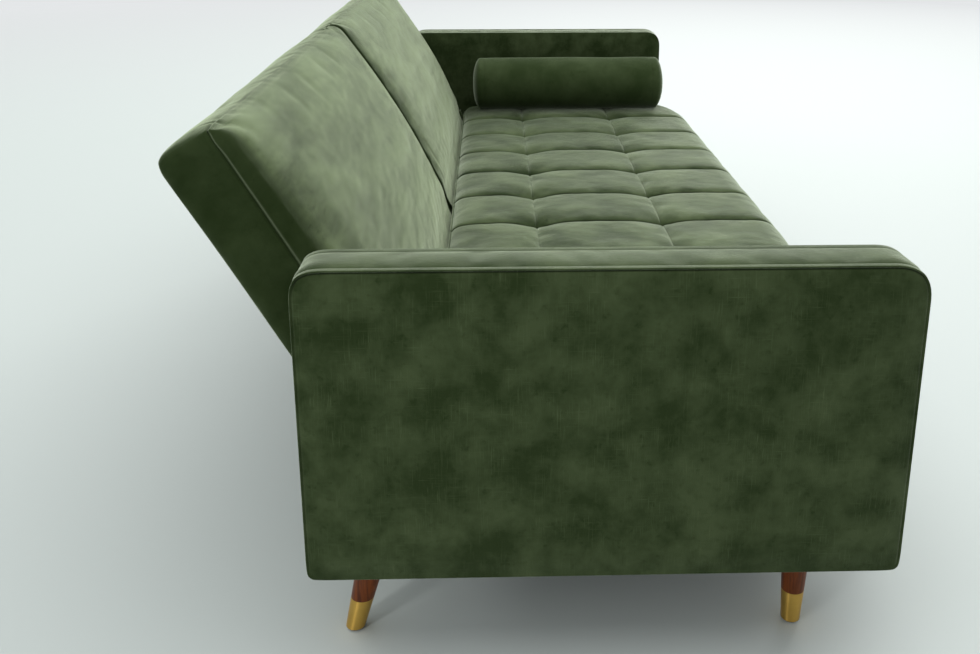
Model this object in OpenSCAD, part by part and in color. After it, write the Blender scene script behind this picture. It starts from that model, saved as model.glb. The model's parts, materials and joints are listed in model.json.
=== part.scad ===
// Click-clack sofa bed: a fixed seat and two arms on a steel base,
// and two back halves that each recline on a ratchet hinge until they lie level with the seat.
// X runs along the sofa, the front faces -Y, and Z = 0 is the floor.

/* [Overall] */
// Length over both arms
sofa_length = 2100; // [1860:10:2420]
// Floor to the top of the seat
seat_height = 355; // [345:1:400]
// Angle of the back from vertical, as stored
recline_rest = 30; // [20:1:45]
// Angle of the back from vertical when sitting upright
recline_upright = 12; // [8:1:16]
// Angle of the back from vertical when it is a bed
recline_flat = 90; // [85:1:90]

/* [Arms] */
// Depth of an arm, front to back
arm_depth = 760; // [640:5:900]
// Height of an arm panel
arm_height = 420; // [350:5:480]
// Thickness of an arm, padding included
arm_thick = 78; // [66:1:96]
// Floor to the underside of an arm
arm_floor_gap = 155; // [140:1:172]
// Radius of an arm's front upper corner
arm_front_radius = 38; // [30:1:60]
// Radius of an arm's rear upper corner
arm_rear_radius = 30; // [20:1:60]
// Radius of an arm's two lower corners
arm_foot_radius = 12; // [6:1:16]
// Foam and cloth on each broad side of an arm
arm_pad = 14; // [10:1:16]
// Foam and cloth on an arm's top, front and back edges
arm_edge_pad = 18; // [16:1:24]
// Width of the timbers inside an arm
arm_timber = 54; // [36:1:60]

/* [Seat] */
// How far the seat's bowed front stands in front of the arms, at its middle
seat_overhang = 70; // [30:1:100]
// How far it stands in front of the arms at its ends
seat_end_overhang = 5; // [3:1:20]
// Length of the curve at each end of the seat's front
seat_bow = 170; // [80:5:300]
// Radius of the seat's front upper edge
seat_roll = 45; // [30:1:60]
// Radius of the seat's rear upper edge
seat_rear_roll = 32; // [15:1:40]
// Room between the seat's back face and the sweep of the back
seat_back_gap = 6; // [4:1:10]

/* [Back] */
// Hinge axis to the back's top edge
back_reach = 478; // [400:1:570]
// Hinge axis to the back's front face
back_front = 63; // [55:1:75]
// Hinge axis to the back's rear face
back_rear = 42; // [36:1:50]
// Distance of the hinge axis in front of the arms' rear edge
hinge_inset = 100; // [60:1:130]
// Gap between the two back halves
back_gap = 12; // [8:1:20]
// Gap between a back half and the arm beside it
back_side_gap = 8; // [6:1:14]
// Padding between the frame and the back's rear face
back_rear_pad = 12; // [10:1:14]

/* [Steel base] */
// Floor to the underside of the base rails
rail_z = 182; // [170:1:190]
// Width and height of the square tube
tube = 30; // [25:1:34]
// Wall of the square tube
tube_wall = 2; // [1.5:0.5:3]
// How far an end rail stops short of the arm's rear edge
end_rail_back = 35; // [20:1:60]
// Thickness of the cloth under the seat and under the arms
under_cloth = 1.5; // [1:0.5:2]

/* [Slats] */
// Thickness of a slat
slat_thick = 8; // [6:1:10]
// Width of a slat
slat_width = 60; // [45:1:75]
// Largest gap between two slats
slat_space = 58; // [40:1:80]

/* [Hinges] */
// Thickness of a hinge plate
plate = 5; // [4:0.5:6]
// Diameter of a hinge bolt
bolt_d = 12; // [10:1:14]
// Radial running clearance of a hinge bolt or pawl pin
run_clear = 0.05; // [0.02:0.01:0.1]
// Thickness of a washer
washer = 1; // [0.8:0.1:1.5]
// Radius of the ratchet's rim
rim_radius = 34; // [32:1:36]
// Depth of a ratchet notch
notch_depth = 6; // [5:0.5:7]
// Width of a ratchet notch
notch_width = 8; // [7:0.5:9]
// Turn of a pawl from lifted to engaged
pawl_lift = 12; // [11:0.5:14]
// Diameter of a pawl pin
pin_d = 8; // [6:1:9]

/* [Legs] */
// Distance of a corner leg's axis from the arm's outer face
leg_inset = 105; // [102:1:112]
// Front leg's distance behind the arm's front edge
front_leg_in = 100; // [60:1:160]
// Rear leg's top, distance in front of the arm's rear edge
rear_leg_in = 85; // [75:1:120]
// Centre rear leg's distance in front of the seat's back face
centre_leg_in = 70; // [50:1:120]
// Backward rake of the rear legs
leg_rake = 14; // [0:1:18]
// Diameter of a leg at its top
leg_top_d = 46; // [40:1:50]
// Diameter of a leg at the floor
leg_foot_d = 26; // [22:1:30]
// Height of a brass ferrule
ferrule_h = 48; // [30:1:70]
// Wall of a brass ferrule
ferrule_wall = 1.2; // [1:0.1:2]
// Height of a glide under a leg
glide_h = 3; // [2:0.5:4]
// Side of a square leg plate
leg_plate = 70; // [60:1:72]
// Diameter of the bolt that holds a leg
leg_bolt_d = 8; // [6:1:10]

/* [Arm bolts] */
// Diameter of an arm bolt
arm_bolt_d = 8; // [6:1:10]
// Radial clearance of an arm bolt in its holes
bolt_clear = 0.2; // [0.1:0.1:0.4]
// Front arm bolt's distance behind the arm's front edge
arm_bolt_front = 120; // [80:5:160]
// Rear arm bolt's distance in front of the rear rail
arm_bolt_rear = 30; // [20:5:60]
// Length of an arm bolt inside the arm's timber
arm_bolt_grip = 30; // [24:1:34]

/* [Bolster] */
// Diameter of the bolster
bolster_d = 155; // [120:1:190]
// Length of the bolster
bolster_length = 575; // [450:5:640]
// Distance of the bolster's front end behind the arm's front edge
bolster_front = 3; // [0:1:40]

/* [Hidden] */
$fn = 64;
eps = 0.01;
soft_gap = 0.3;          // soft pieces stay this far from what they touch
arc_steps = 8;           // straight strips in each quarter-round edge of a soft piece

// Along X
arm_in_x = sofa_length / 2 - arm_thick;
end_rail_x = arm_in_x - tube;
back_out_x = arm_in_x - back_side_gap;
back_in_x = back_gap / 2;
leg_x = sofa_length / 2 - leg_inset;
hinge_slot = 40;                          // width of the slot in a back half's lower corner
bracket_x = end_rail_x - plate;           // outer bracket, on the end rail's inner face
leaf_x = end_rail_x + washer;             // outer leaf, one washer outboard of the bracket
back_rail_out_x = leaf_x - tube;          // outer upright of a back frame
ear_x = back_in_x + 1;                    // inner bracket ear
inner_leaf_x = ear_x + plate + washer;
back_rail_in_x = inner_leaf_x + plate;    // inner upright of a back frame

// Up and down
hinge_z = seat_height - back_front;
rail_top = rail_z + tube;
slat_top = rail_top + slat_thick;
arm_top = arm_floor_gap + arm_height;

// Front to back: everything is placed from the middle of the arms,
// which lies so that Y = 0 is the middle of the whole sofa as stored.
back_edge_r = 20;
front_reach = arm_depth / 2 + seat_overhang;
rear_reach = arm_depth / 2 - hinge_inset
           + (back_reach - back_edge_r) * sin(recline_rest)
           + (back_rear - back_edge_r) * cos(recline_rest) + back_edge_r;
arm_mid_y = (front_reach - rear_reach) / 2;
arm_front_y = arm_mid_y - arm_depth / 2;
arm_rear_y = arm_mid_y + arm_depth / 2;
seat_front_y = arm_front_y - seat_overhang;
hinge_y = arm_rear_y - hinge_inset;
seat_rear_y = hinge_y - back_front - seat_back_gap;
rear_rail_y = seat_rear_y - seat_back_gap - tube;
front_rail_y = arm_front_y;
end_rail_rear_y = arm_rear_y - end_rail_back;
front_leg_y = arm_front_y + front_leg_in;
rear_leg_y = arm_rear_y - rear_leg_in;
centre_leg_y = seat_rear_y - centre_leg_in;
bracket_front_y = seat_rear_y + 3;
first_bolt_y = arm_front_y + arm_bolt_front;
last_bolt_y = rear_rail_y - arm_bolt_rear;

// Hinge plates: angles are measured about the hinge axis from +Y towards +Z
ear_radius = 22;
pawl_pin_angle = 165;
pawl_pin_radius = rim_radius + 18;
pawl_boss = 8;
notch_angle = 207;
nose_clear = 1.2;                        // side clearance of the pawl's nose in a notch
nose_reach = notch_depth - 1;
side_play = 0.1;                         // end play between a leaf and a washer
slot_top = rim_radius + 2;               // height of the hinge slot above the axis
pawl_pin_y = hinge_y + pawl_pin_radius * cos(pawl_pin_angle);
pawl_pin_z = hinge_z + pawl_pin_radius * sin(pawl_pin_angle);
nut_h = 7;
head_h = 5;
nut_d = 20;
washer_d = 24;

// Back frame, in the back's own axes: Z up along the back, Y towards its rear
frame_low = slot_top + 4;
frame_high = back_reach - 20;
frame_rear = back_rear - back_rear_pad;
frame_front = frame_rear - tube;
slat_front = frame_front - slat_thick;
pocket_clear = 1;

// Legs
leg_top_z = rail_z - plate;
centre_plate_half = leg_plate / 2;
corner_plate_x = arm_in_x - leg_plate - 1;
bolt_into_leg = 30;

velvet = [0.39, 0.44, 0.33];
dark_wood = [0.36, 0.18, 0.09];
pale_wood = [0.78, 0.64, 0.45];
black_steel = [0.12, 0.12, 0.13];
zinc = [0.72, 0.73, 0.75];
brass = [0.80, 0.64, 0.33];
black_cloth = [0.07, 0.07, 0.07];

// ---------- helpers ----------

// Points of a round corner: centre c, radius r, from angle a0 through a quarter turn
function corner(c, r, a0) =
    [for (i = [0:arc_steps]) c + r * [cos(a0 + 90 * i / arc_steps), sin(a0 + 90 * i / arc_steps)]];

// Outline of a box from lo to hi with its own radius at each corner:
// lower left, lower right, upper right, upper left
function outline(lo, hi, r) = concat(
    corner([lo[0] + r[0], lo[1] + r[0]], r[0], 180),
    corner([hi[0] - r[1], lo[1] + r[1]], r[1], 270),
    corner([hi[0] - r[2], hi[1] - r[2]], r[2], 0),
    corner([lo[0] + r[3], hi[1] - r[3]], r[3], 90));

// Extrudes a (Y, Z) outline along X, from x0 for a length
module along_x(x0, length)
    translate([x0, 0, 0]) rotate([90, 0, 90]) linear_extrude(length) children();

// A box between two corners
module block(lo, hi) translate(lo) cube(hi - lo);

// A cylinder along X
module rod_x(x0, length, d) translate([x0, 0, 0]) rotate([0, 90, 0]) cylinder(d = d, h = length);

// The left side is the mirror image of the right side
module on_side(side) if (side == "left") mirror([1, 0, 0]) children(); else children();

// Places a piece drawn in the back's own axes at its stored recline
module on_back() translate([0, hinge_y, hinge_z]) rotate([-recline_rest, 0, 0]) children();

// Places a piece drawn about the hinge axis
module at_hinge() translate([0, hinge_y, hinge_z]) children();

// Places a piece drawn about the pawl's pin
module at_pawl() translate([0, pawl_pin_y, pawl_pin_z]) children();

// A square tube between two corners, open at the ends along one axis (0 = X, 1 = Y, 2 = Z)
module tube_between(lo, hi, axis) {
    wall = [for (i = [0:2]) i == axis ? -eps : tube_wall];
    difference() {
        block(lo, hi);
        block(lo + wall, hi - wall);
    }
}

// ---------- seat ----------

module seat_front_rail()
    color(black_steel)
    tube_between([-end_rail_x, front_rail_y, rail_z], [end_rail_x, front_rail_y + tube, rail_top], 0);

module seat_rear_rail()
    color(black_steel)
    tube_between([-end_rail_x, rear_rail_y, rail_z], [end_rail_x, rear_rail_y + tube, rail_top], 0);

module seat_centre_rail()
    color(black_steel)
    tube_between([-tube / 2, front_rail_y + tube, rail_z], [tube / 2, rear_rail_y, rail_top], 1);

// An end rail runs back under the hinge, so that the rear leg stands behind the seat
module end_rail(side)
    color(black_steel) on_side(side)
    difference() {
        tube_between([end_rail_x, front_rail_y, rail_z], [arm_in_x, end_rail_rear_y, rail_top], 1);
        arm_bolt_places() rod_x(end_rail_x - eps, tube + 2 * eps, arm_bolt_d + 2 * bolt_clear);
    }

module seat_left_rail() end_rail("left");
module seat_right_rail() end_rail("right");

// Slats lie front to back on the rails, evenly spaced in each half of the seat
module seat_slats() {
    first = tube / 2 + slat_space / 2;
    room = bracket_x - slat_space / 2 - first;
    count = ceil((room + slat_space) / (slat_width + slat_space));
    pitch = (room - slat_width) / (count - 1);
    color(pale_wood)
    for (side = ["left", "right"], i = [0:count - 1])
        on_side(side)
        block([first + i * pitch, front_rail_y, rail_top],
              [first + i * pitch + slat_width, rear_rail_y + tube, slat_top]);
}

// Foam and cover in one: a block on the slats with a skirt in front of the front rail.
// Seen from above, the front is straight in the middle and curves in to the arms.
module seat_cushion() {
    cushion_end = arm_in_x - soft_gap;
    bow_depth = seat_overhang - seat_end_overhang;
    end_curve = [for (i = [0:arc_steps])
        [cushion_end - seat_bow + seat_bow * sin(90 * i / arc_steps),
         seat_front_y + bow_depth - bow_depth * cos(90 * i / arc_steps)]];
    plan = concat(
        end_curve,
        [[cushion_end, seat_rear_y + 1], [-cushion_end, seat_rear_y + 1]],
        [for (i = [arc_steps:-1:0]) [-end_curve[i][0], end_curve[i][1]]]);
    color(velvet)
    difference() {
        intersection() {
            along_x(-cushion_end, 2 * cushion_end)
                polygon(outline([seat_front_y, rail_z], [seat_rear_y, seat_height], [12, 2, seat_rear_roll, seat_roll]));
            translate([0, 0, rail_z - 1]) linear_extrude(seat_height - rail_z + 2) polygon(plan);
        }
        block([-cushion_end - 1, front_rail_y - soft_gap, rail_z - 1],
              [cushion_end + 1, seat_rear_y + 1, slat_top + soft_gap]);
    }
}

module seat_under_cloth() {
    cloth_x = corner_plate_x - 1;
    color(black_cloth)
    difference() {
        block([-cloth_x, front_rail_y, rail_z - under_cloth], [cloth_x, rear_rail_y + tube, rail_z]);
        for (y = [front_leg_y, centre_leg_y])
            block([-centre_plate_half - 1, y - centre_plate_half - 1, rail_z - under_cloth - 1],
                  [centre_plate_half + 1, y + centre_plate_half + 1, rail_z + 1]);
    }
}

// ---------- legs ----------

// Top centres of the six legs, and how far each rakes back
leg_tops = [
    [-leg_x, front_leg_y], [leg_x, front_leg_y], [-leg_x, rear_leg_y],
    [leg_x, rear_leg_y], [0, front_leg_y], [0, centre_leg_y]
];
leg_rakes = [0, 0, leg_rake, leg_rake, 0, 0];

function leg_foot_y(i) = leg_tops[i][1] + (leg_top_z - glide_h) * tan(leg_rakes[i]);

// A tapered cone down a leg's axis, cut level between two heights and offset outwards
module leg_cone(i, z0, z1, grow) {
    rake = leg_rakes[i];
    length = leg_top_z / cos(rake);
    intersection() {
        translate([leg_tops[i][0], leg_tops[i][1], leg_top_z])
            rotate([rake, 0, 0]) translate([0, 0, -length - leg_top_d])
            cylinder(d1 = leg_foot_d - (leg_top_d - leg_foot_d) * leg_top_d / length + 2 * grow,
                     d2 = leg_top_d + (leg_top_d - leg_foot_d) * leg_top_d / length + 2 * grow,
                     h = length + 2 * leg_top_d);
        block([leg_tops[i][0] - 100, leg_tops[i][1] - 100, z0],
              [leg_tops[i][0] + 100, leg_tops[i][1] + 100, z1]);
    }
}

// The wood steps in by the ferrule's wall where the ferrule sleeves it
module leg(i)
    color(dark_wood)
    difference() {
        union() {
            leg_cone(i, ferrule_h + glide_h, leg_top_z, 0);
            leg_cone(i, glide_h, ferrule_h + glide_h + eps, -ferrule_wall - run_clear);
        }
        translate([leg_tops[i][0], leg_tops[i][1], leg_top_z - bolt_into_leg])
            cylinder(d = leg_bolt_d + 2 * run_clear, h = bolt_into_leg + 1);
    }

module ferrule(i)
    color(brass)
    difference() {
        leg_cone(i, glide_h, ferrule_h + glide_h, 0);
        leg_cone(i, glide_h - 1, ferrule_h + glide_h + 1, -ferrule_wall);
    }

module leg_front_left() leg(0);
module leg_front_right() leg(1);
module leg_rear_left() leg(2);
module leg_rear_right() leg(3);
module leg_centre_front() leg(4);
module leg_centre_rear() leg(5);
module ferrule_front_left() ferrule(0);
module ferrule_front_right() ferrule(1);
module ferrule_rear_left() ferrule(2);
module ferrule_rear_right() ferrule(3);
module ferrule_centre_front() ferrule(4);
module ferrule_centre_rear() ferrule(5);

module leg_glides()
    color(black_steel)
    for (i = [0:5])
        translate([leg_tops[i][0], leg_foot_y(i), 0]) cylinder(d = leg_foot_d - 6, h = glide_h);

// A corner plate reaches from under the end rail to past the leg, a centre one lies under its rail
module leg_plates()
    color(black_steel)
    for (i = [0:5]) {
        x = leg_tops[i][0];
        y = leg_tops[i][1];
        lo_x = i < 4 ? corner_plate_x : -centre_plate_half;
        mirror([x < 0 ? 1 : 0, 0, 0])
        difference() {
            block([lo_x, y - centre_plate_half, leg_top_z], [lo_x + leg_plate, y + centre_plate_half, rail_z]);
            translate([abs(x), y, leg_top_z - 1]) cylinder(d = leg_bolt_d + 2 * run_clear, h = plate + 2);
        }
    }

module leg_bolts()
    color(zinc)
    for (top = leg_tops)
        translate([top[0], top[1], leg_top_z - bolt_into_leg + 1])
            cylinder(d = leg_bolt_d, h = bolt_into_leg + plate - 1);

// ---------- arms ----------

// Runs its children at each arm bolt's place on the right side
module arm_bolt_places()
    for (y = [first_bolt_y, (first_bolt_y + last_bolt_y) / 2, last_bolt_y])
        translate([0, y, rail_z + tube / 2]) children();

pocket_x = arm_in_x + arm_pad;
pocket_end_x = sofa_length / 2 - arm_pad;
pocket_front_y = arm_front_y + arm_edge_pad;
pocket_rear_y = arm_rear_y - arm_edge_pad;
pocket_top = arm_top - arm_edge_pad;

// Padded cover of an arm, hollow for the timbers and open underneath
module arm_cover(side)
    color(velvet) on_side(side)
    difference() {
        along_x(arm_in_x, arm_thick)
            polygon(outline([arm_front_y, arm_floor_gap], [arm_rear_y, arm_top],
                [arm_foot_radius, arm_foot_radius, arm_rear_radius, arm_front_radius]));
        block([pocket_x, pocket_front_y, arm_floor_gap - 1], [pocket_end_x, pocket_rear_y, pocket_top]);
        arm_bolt_places() rod_x(arm_in_x - 1, arm_pad + 2, arm_bolt_d + 4 * bolt_clear);
    }

// Two posts, two rails and a middle post, butted together
module arm_timbers(side) {
    low = arm_floor_gap + under_cloth;
    front = pocket_front_y + soft_gap;
    rear = pocket_rear_y - soft_gap;
    top = pocket_top - soft_gap;
    lo_x = pocket_x + soft_gap;
    hi_x = pocket_end_x - soft_gap;
    color(pale_wood) on_side(side)
    difference() {
        union() {
            block([lo_x, front, low], [hi_x, front + arm_timber, top]);
            block([lo_x, rear - arm_timber, low], [hi_x, rear, top]);
            block([lo_x, front + arm_timber, top - arm_timber], [hi_x, rear - arm_timber, top]);
            block([lo_x, front + arm_timber, low], [hi_x, rear - arm_timber, low + arm_timber]);
            block([lo_x, arm_mid_y - arm_timber / 2, low + arm_timber],
                  [hi_x, arm_mid_y + arm_timber / 2, top - arm_timber]);
        }
        arm_bolt_places() rod_x(pocket_x - 1, arm_bolt_grip + 5, arm_bolt_d + 2 * bolt_clear);
    }
}

module arm_left_cover() arm_cover("left");
module arm_right_cover() arm_cover("right");
module arm_left_timbers() arm_timbers("left");
module arm_right_timbers() arm_timbers("right");

module arm_under_cloths()
    color(black_cloth)
    for (side = ["left", "right"])
        on_side(side)
        block([pocket_x + soft_gap, pocket_front_y + soft_gap, arm_floor_gap],
              [pocket_end_x - soft_gap, pocket_rear_y - soft_gap, arm_floor_gap + under_cloth]);

// Bolts from inside the end rail, through the arm's padding, into its bottom timber
module arm_bolts() {
    shank = tube + arm_pad + arm_bolt_grip;
    color(zinc)
    for (side = ["left", "right"])
        on_side(side) arm_bolt_places() {
            rod_x(end_rail_x - washer, shank + washer, arm_bolt_d);
            rod_x(end_rail_x - washer, washer, 2.5 * arm_bolt_d);
            rod_x(end_rail_x - washer - head_h, head_h, 1.6 * arm_bolt_d);
        }
}

// ---------- hinges ----------

// Bracket on an end rail: carries the hinge bolt and the pawl's pin
module bracket(side)
    color(black_steel) on_side(side)
    along_x(bracket_x, plate)
    difference() {
        union() {
            polygon([
                [bracket_front_y, rail_z + 2], [hinge_y + 20, rail_z + 2], [hinge_y + ear_radius, hinge_z],
                [hinge_y, hinge_z + ear_radius], [pawl_pin_y, pawl_pin_z + pawl_boss],
                [pawl_pin_y - pawl_boss, pawl_pin_z], [bracket_front_y, rail_top + 20]
            ]);
            translate([hinge_y, hinge_z]) circle(r = ear_radius);
            translate([pawl_pin_y, pawl_pin_z]) circle(r = pawl_boss);
        }
        translate([hinge_y, hinge_z]) circle(d = bolt_d + 2 * run_clear);
        translate([pawl_pin_y, pawl_pin_z]) circle(d = pin_d + 2 * run_clear);
    }

module bracket_left() bracket("left");
module bracket_right() bracket("right");

// Bracket on the rear rail's middle: two ears, one for each back half
module bracket_centre() {
    foot_y = rear_rail_y + tube;
    color(black_steel) {
        block([-leg_plate / 2, foot_y, rail_z], [leg_plate / 2, foot_y + plate, rail_top]);
        for (side = ["left", "right"])
            on_side(side)
            along_x(ear_x, plate)
            difference() {
                union() {
                    polygon([
                        [foot_y + plate - eps, rail_z], [foot_y + 40, rail_z],
                        [hinge_y + ear_radius * cos(30), hinge_z - ear_radius * sin(30)],
                        [hinge_y - ear_radius * cos(30), hinge_z + ear_radius * sin(30)],
                        [foot_y + plate + 4, rail_top + 6], [foot_y + plate - eps, rail_top]
                    ]);
                    translate([hinge_y, hinge_z]) circle(r = ear_radius);
                }
                translate([hinge_y, hinge_z]) circle(d = bolt_d + 2 * run_clear);
            }
    }
}

outer_head_x = leaf_x + plate + washer;
inner_head_x = ear_x - head_h;

module hinge_bolts()
    color(zinc)
    for (side = ["left", "right"])
        on_side(side) at_hinge() {
            rod_x(outer_head_x, head_h, nut_d);
            rod_x(bracket_x - nut_h, outer_head_x - bracket_x + nut_h, bolt_d);
            rod_x(inner_head_x, head_h, nut_d);
            rod_x(ear_x - eps, back_rail_in_x + washer + nut_h - ear_x, bolt_d);
        }

module nut_x(x0)
    difference() {
        translate([x0, 0, 0]) rotate([0, 90, 0]) cylinder(d = nut_d, h = nut_h, $fn = 6);
        rod_x(x0 - 1, nut_h + 2, bolt_d + 2 * run_clear);
    }

module hinge_nuts()
    color(zinc)
    for (side = ["left", "right"])
        on_side(side) at_hinge() {
            nut_x(bracket_x - nut_h);
            nut_x(back_rail_in_x + washer);
        }

module washer_x(x0)
    difference() {
        rod_x(x0, washer - side_play, washer_d);
        rod_x(x0 - 1, washer + 2, bolt_d + 2 * run_clear);
    }

// Washers lie between a leaf and its bracket, and outside each leaf
module hinge_washers()
    color(zinc)
    for (side = ["left", "right"])
        on_side(side) at_hinge() {
            washer_x(leaf_x - washer);
            washer_x(leaf_x + plate + side_play);
            washer_x(inner_leaf_x - washer);
            washer_x(back_rail_in_x + side_play);
        }

// Pin with a low head, from the bracket out through the pawl and its spring
module pawl_pins() {
    head_x = leaf_x + plate + 8;
    color(zinc)
    for (side = ["left", "right"])
        on_side(side) at_pawl() {
            rod_x(bracket_x, head_x - bracket_x, pin_d);
            rod_x(head_x, 2, pin_d + 6);
        }
}

// Close-wound flat spring on each pin, with a tail that hangs beside the pawl
module pawl_springs() {
    wire = 1.6;
    barrel_r = pin_d / 2 + 0.3;
    start_x = leaf_x + plate + soft_gap;
    color(zinc)
    for (side = ["left", "right"])
        on_side(side) at_pawl()
        difference() {
            union() {
                rod_x(start_x, 4 * wire, 2 * (barrel_r + wire));
                block([start_x, -barrel_r - wire, -20], [start_x + wire, -barrel_r, 0]);
            }
            rod_x(start_x - 1, 4 * wire + 2, 2 * barrel_r);
        }
}

// A pawl in its lifted place: boss, arm and a square nose that drops into a notch
module pawl(side) {
    nose_w = notch_width - 2 * nose_clear;
    nose_tip = rim_radius - nose_reach;
    nose_root = rim_radius + 12;
    to_pin = pawl_pin_radius * [cos(pawl_pin_angle), sin(pawl_pin_angle)];
    boss = pawl_pin_radius * [cos(pawl_pin_angle - notch_angle), sin(pawl_pin_angle - notch_angle)];
    color(black_steel) on_side(side)
    at_pawl() rotate([-pawl_lift, 0, 0])
    along_x(leaf_x, plate)
    difference() {
        union() {
            circle(r = pawl_boss);
            translate(-to_pin) rotate(notch_angle)
                polygon([
                    [nose_tip, nose_w / 2], [nose_tip, -nose_w / 2], [rim_radius + 3, -nose_w / 2],
                    boss + [-5, 3], boss + [6, 0], [nose_root, -nose_w / 2 - 4], [nose_root, nose_w / 2]
                ]);
        }
        circle(d = pin_d + 2 * run_clear);
    }
}

module pawl_left() pawl("left");
module pawl_right() pawl("right");

// Strap of a leaf in the back's own axes, up the outside of the frame's upright
strap_top = frame_low + 110;
module leaf_strap(half_width)
    polygon([
        [-half_width, 0], [half_width, 0], [frame_rear - 3, frame_low],
        [frame_rear - 3, strap_top], [frame_front + 3, strap_top], [frame_front + 3, frame_low]
    ]);

// Outer leaf: its rim has a notch for the pawl at each of the back's three positions
module ratchet(side) {
    stops = [recline_upright, recline_rest, recline_flat];
    color(black_steel) on_side(side) on_back()
    along_x(leaf_x, plate)
    difference() {
        union() {
            circle(r = rim_radius);
            leaf_strap(16);
        }
        circle(d = bolt_d + 2 * run_clear);
        for (stop = stops)
            rotate(notch_angle + stop)
            translate([rim_radius - notch_depth, -notch_width / 2]) square([notch_depth + 5, notch_width]);
    }
}

module ratchet_left() ratchet("left");
module ratchet_right() ratchet("right");

module hinge_leaf(side)
    color(black_steel) on_side(side) on_back()
    along_x(inner_leaf_x, plate)
    difference() {
        union() {
            circle(r = ear_radius);
            leaf_strap(16);
        }
        circle(d = bolt_d + 2 * run_clear);
    }

module hinge_leaf_left() hinge_leaf("left");
module hinge_leaf_right() hinge_leaf("right");

// ---------- back halves ----------

// Two uprights, top and bottom rails between them, and a middle upright
module back_frame(side) {
    rail_in = back_rail_in_x + tube;
    mid = (rail_in + back_rail_out_x) / 2;
    color(black_steel) on_side(side) on_back() {
        tube_between([back_rail_in_x, frame_front, frame_low], [rail_in, frame_rear, frame_high], 2);
        tube_between([back_rail_out_x, frame_front, frame_low], [leaf_x, frame_rear, frame_high], 2);
        tube_between([rail_in, frame_front, frame_high - tube], [back_rail_out_x, frame_rear, frame_high], 0);
        tube_between([rail_in, frame_front, frame_low], [back_rail_out_x, frame_rear, frame_low + tube], 0);
        tube_between([mid - tube / 2, frame_front, frame_low + tube],
                     [mid + tube / 2, frame_rear, frame_high - tube], 2);
    }
}

module back_slats(side) {
    first = back_rail_in_x + 4;
    room = back_rail_out_x + tube - 4 - first;
    count = ceil((room + slat_space) / (slat_width + slat_space));
    pitch = (room - slat_width) / (count - 1);
    color(pale_wood) on_side(side) on_back()
    for (i = [0:count - 1])
        block([first + i * pitch, slat_front, frame_low + 4],
              [first + i * pitch + slat_width, frame_front, frame_high - 4]);
}

// Foam and cover in one: rounded about the hinge, with a pocket for the frame
// and a slot at each lower corner for the hinge plates
module back_cushion(side)
    color(velvet) on_side(side) on_back()
    difference() {
        along_x(back_in_x, back_out_x - back_in_x)
            polygon(outline([-back_front, -back_front], [back_rear, back_reach],
                [back_front - 8, 24, back_edge_r, 30]));
        block([inner_leaf_x - pocket_clear, slat_front - soft_gap, slot_top - 6],
              [leaf_x + plate + pocket_clear, frame_rear + soft_gap, frame_high + pocket_clear]);
        block([back_in_x - 1, -back_front - 1, -back_front - 1],
              [back_in_x + hinge_slot, back_rear + 1, slot_top]);
        block([back_out_x - hinge_slot, -back_front - 1, -back_front - 1],
              [back_out_x + 1, back_rear + 1, slot_top]);
    }

module back_left_frame() back_frame("left");
module back_right_frame() back_frame("right");
module back_left_slats() back_slats("left");
module back_right_slats() back_slats("right");
module back_left_cushion() back_cushion("left");
module back_right_cushion() back_cushion("right");

// ---------- bolster ----------

// A round cushion against the right arm, its axis front to back
module bolster() {
    r = bolster_d / 2;
    edge = 10;
    profile = concat(
        [[0, 0]],
        [for (i = [0:arc_steps])
            [r - edge + edge * sin(90 * i / arc_steps), edge - edge * cos(90 * i / arc_steps)]],
        [for (i = [0:arc_steps])
            [r - edge + edge * cos(90 * i / arc_steps),
             bolster_length - edge + edge * sin(90 * i / arc_steps)]],
        [[0, bolster_length]]);
    color(velvet)
    translate([arm_in_x - r - 2 * soft_gap, arm_front_y + bolster_front, seat_height + r + soft_gap])
        rotate([-90, 0, 0]) rotate_extrude() polygon(profile);
}

seat_front_rail();
seat_rear_rail();
seat_left_rail();
seat_right_rail();
seat_centre_rail();
seat_slats();
seat_cushion();
seat_under_cloth();
leg_plates();
leg_bolts();
leg_glides();
leg_front_left();
leg_front_right();
leg_rear_left();
leg_rear_right();
leg_centre_front();
leg_centre_rear();
ferrule_front_left();
ferrule_front_right();
ferrule_rear_left();
ferrule_rear_right();
ferrule_centre_front();
ferrule_centre_rear();
arm_left_timbers();
arm_right_timbers();
arm_left_cover();
arm_right_cover();
arm_under_cloths();
arm_bolts();
bracket_left();
bracket_right();
bracket_centre();
hinge_bolts();
hinge_nuts();
hinge_washers();
pawl_pins();
pawl_springs();
pawl_left();
pawl_right();
ratchet_left();
ratchet_right();
hinge_leaf_left();
hinge_leaf_right();
back_left_frame();
back_right_frame();
back_left_slats();
back_right_slats();
back_left_cushion();
back_right_cushion();
bolster();
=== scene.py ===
import json
import math

import bpy
import numpy as np
from mathutils import Matrix, Vector, noise


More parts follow.
